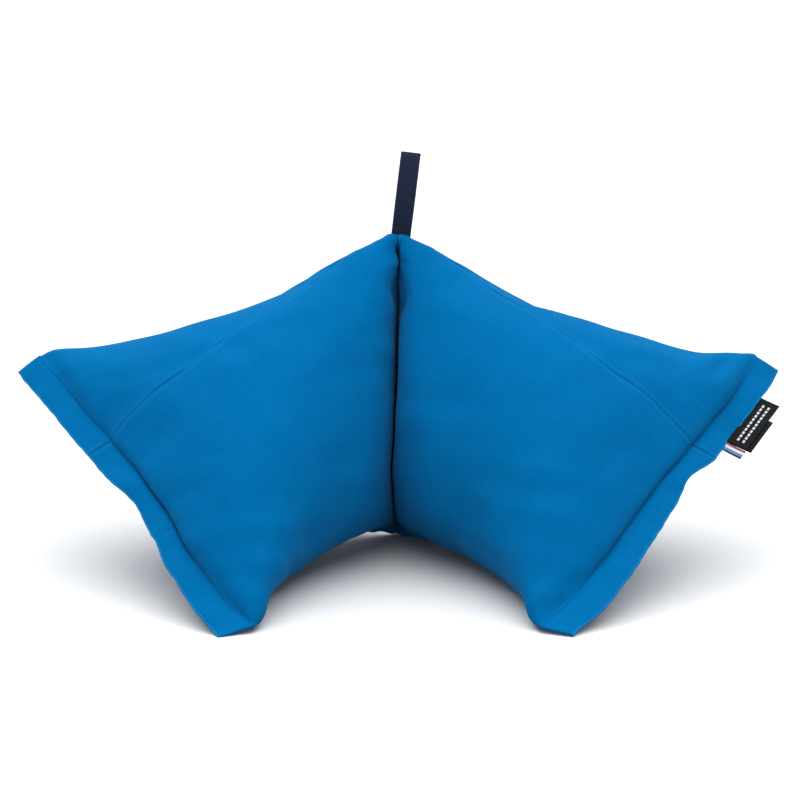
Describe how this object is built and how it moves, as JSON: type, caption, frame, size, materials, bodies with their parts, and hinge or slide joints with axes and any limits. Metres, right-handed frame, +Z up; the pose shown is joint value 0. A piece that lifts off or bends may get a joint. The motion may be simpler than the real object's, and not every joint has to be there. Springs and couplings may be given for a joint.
{
  "type": "two-winged cushion",
  "caption": "Free-standing filled canvas cushion in the form of an open book, with a stitched spine, flanged wing ends, a webbing loop and side labels.",
  "frame": {"origin": "on the floor, at the centre of the bounding box; the stitched spine stands 135 mm behind it at +Y", "axes": "+Z up; +X from the left wing to the right wing, which carries the labels; the wings open towards -Y, where a viewer stands"},
  "size_m": [0.7838, 0.3374, 0.4124],
  "materials": {
    "blue_canvas": "matt plain-woven cotton canvas",
    "navy_webbing": "twill webbing",
    "black_label": "woven satin label",
    "striped_ribbon": "grosgrain ribbon in red, white and blue stripes"
  },
  "bodies": {
    "root": {"cushion": "blue_canvas", "carry_loop": "navy_webbing", "side_label": "black_label", "care_label": "black_label", "ribbon_tab": "striped_ribbon"}
  },
  "joints": []
}
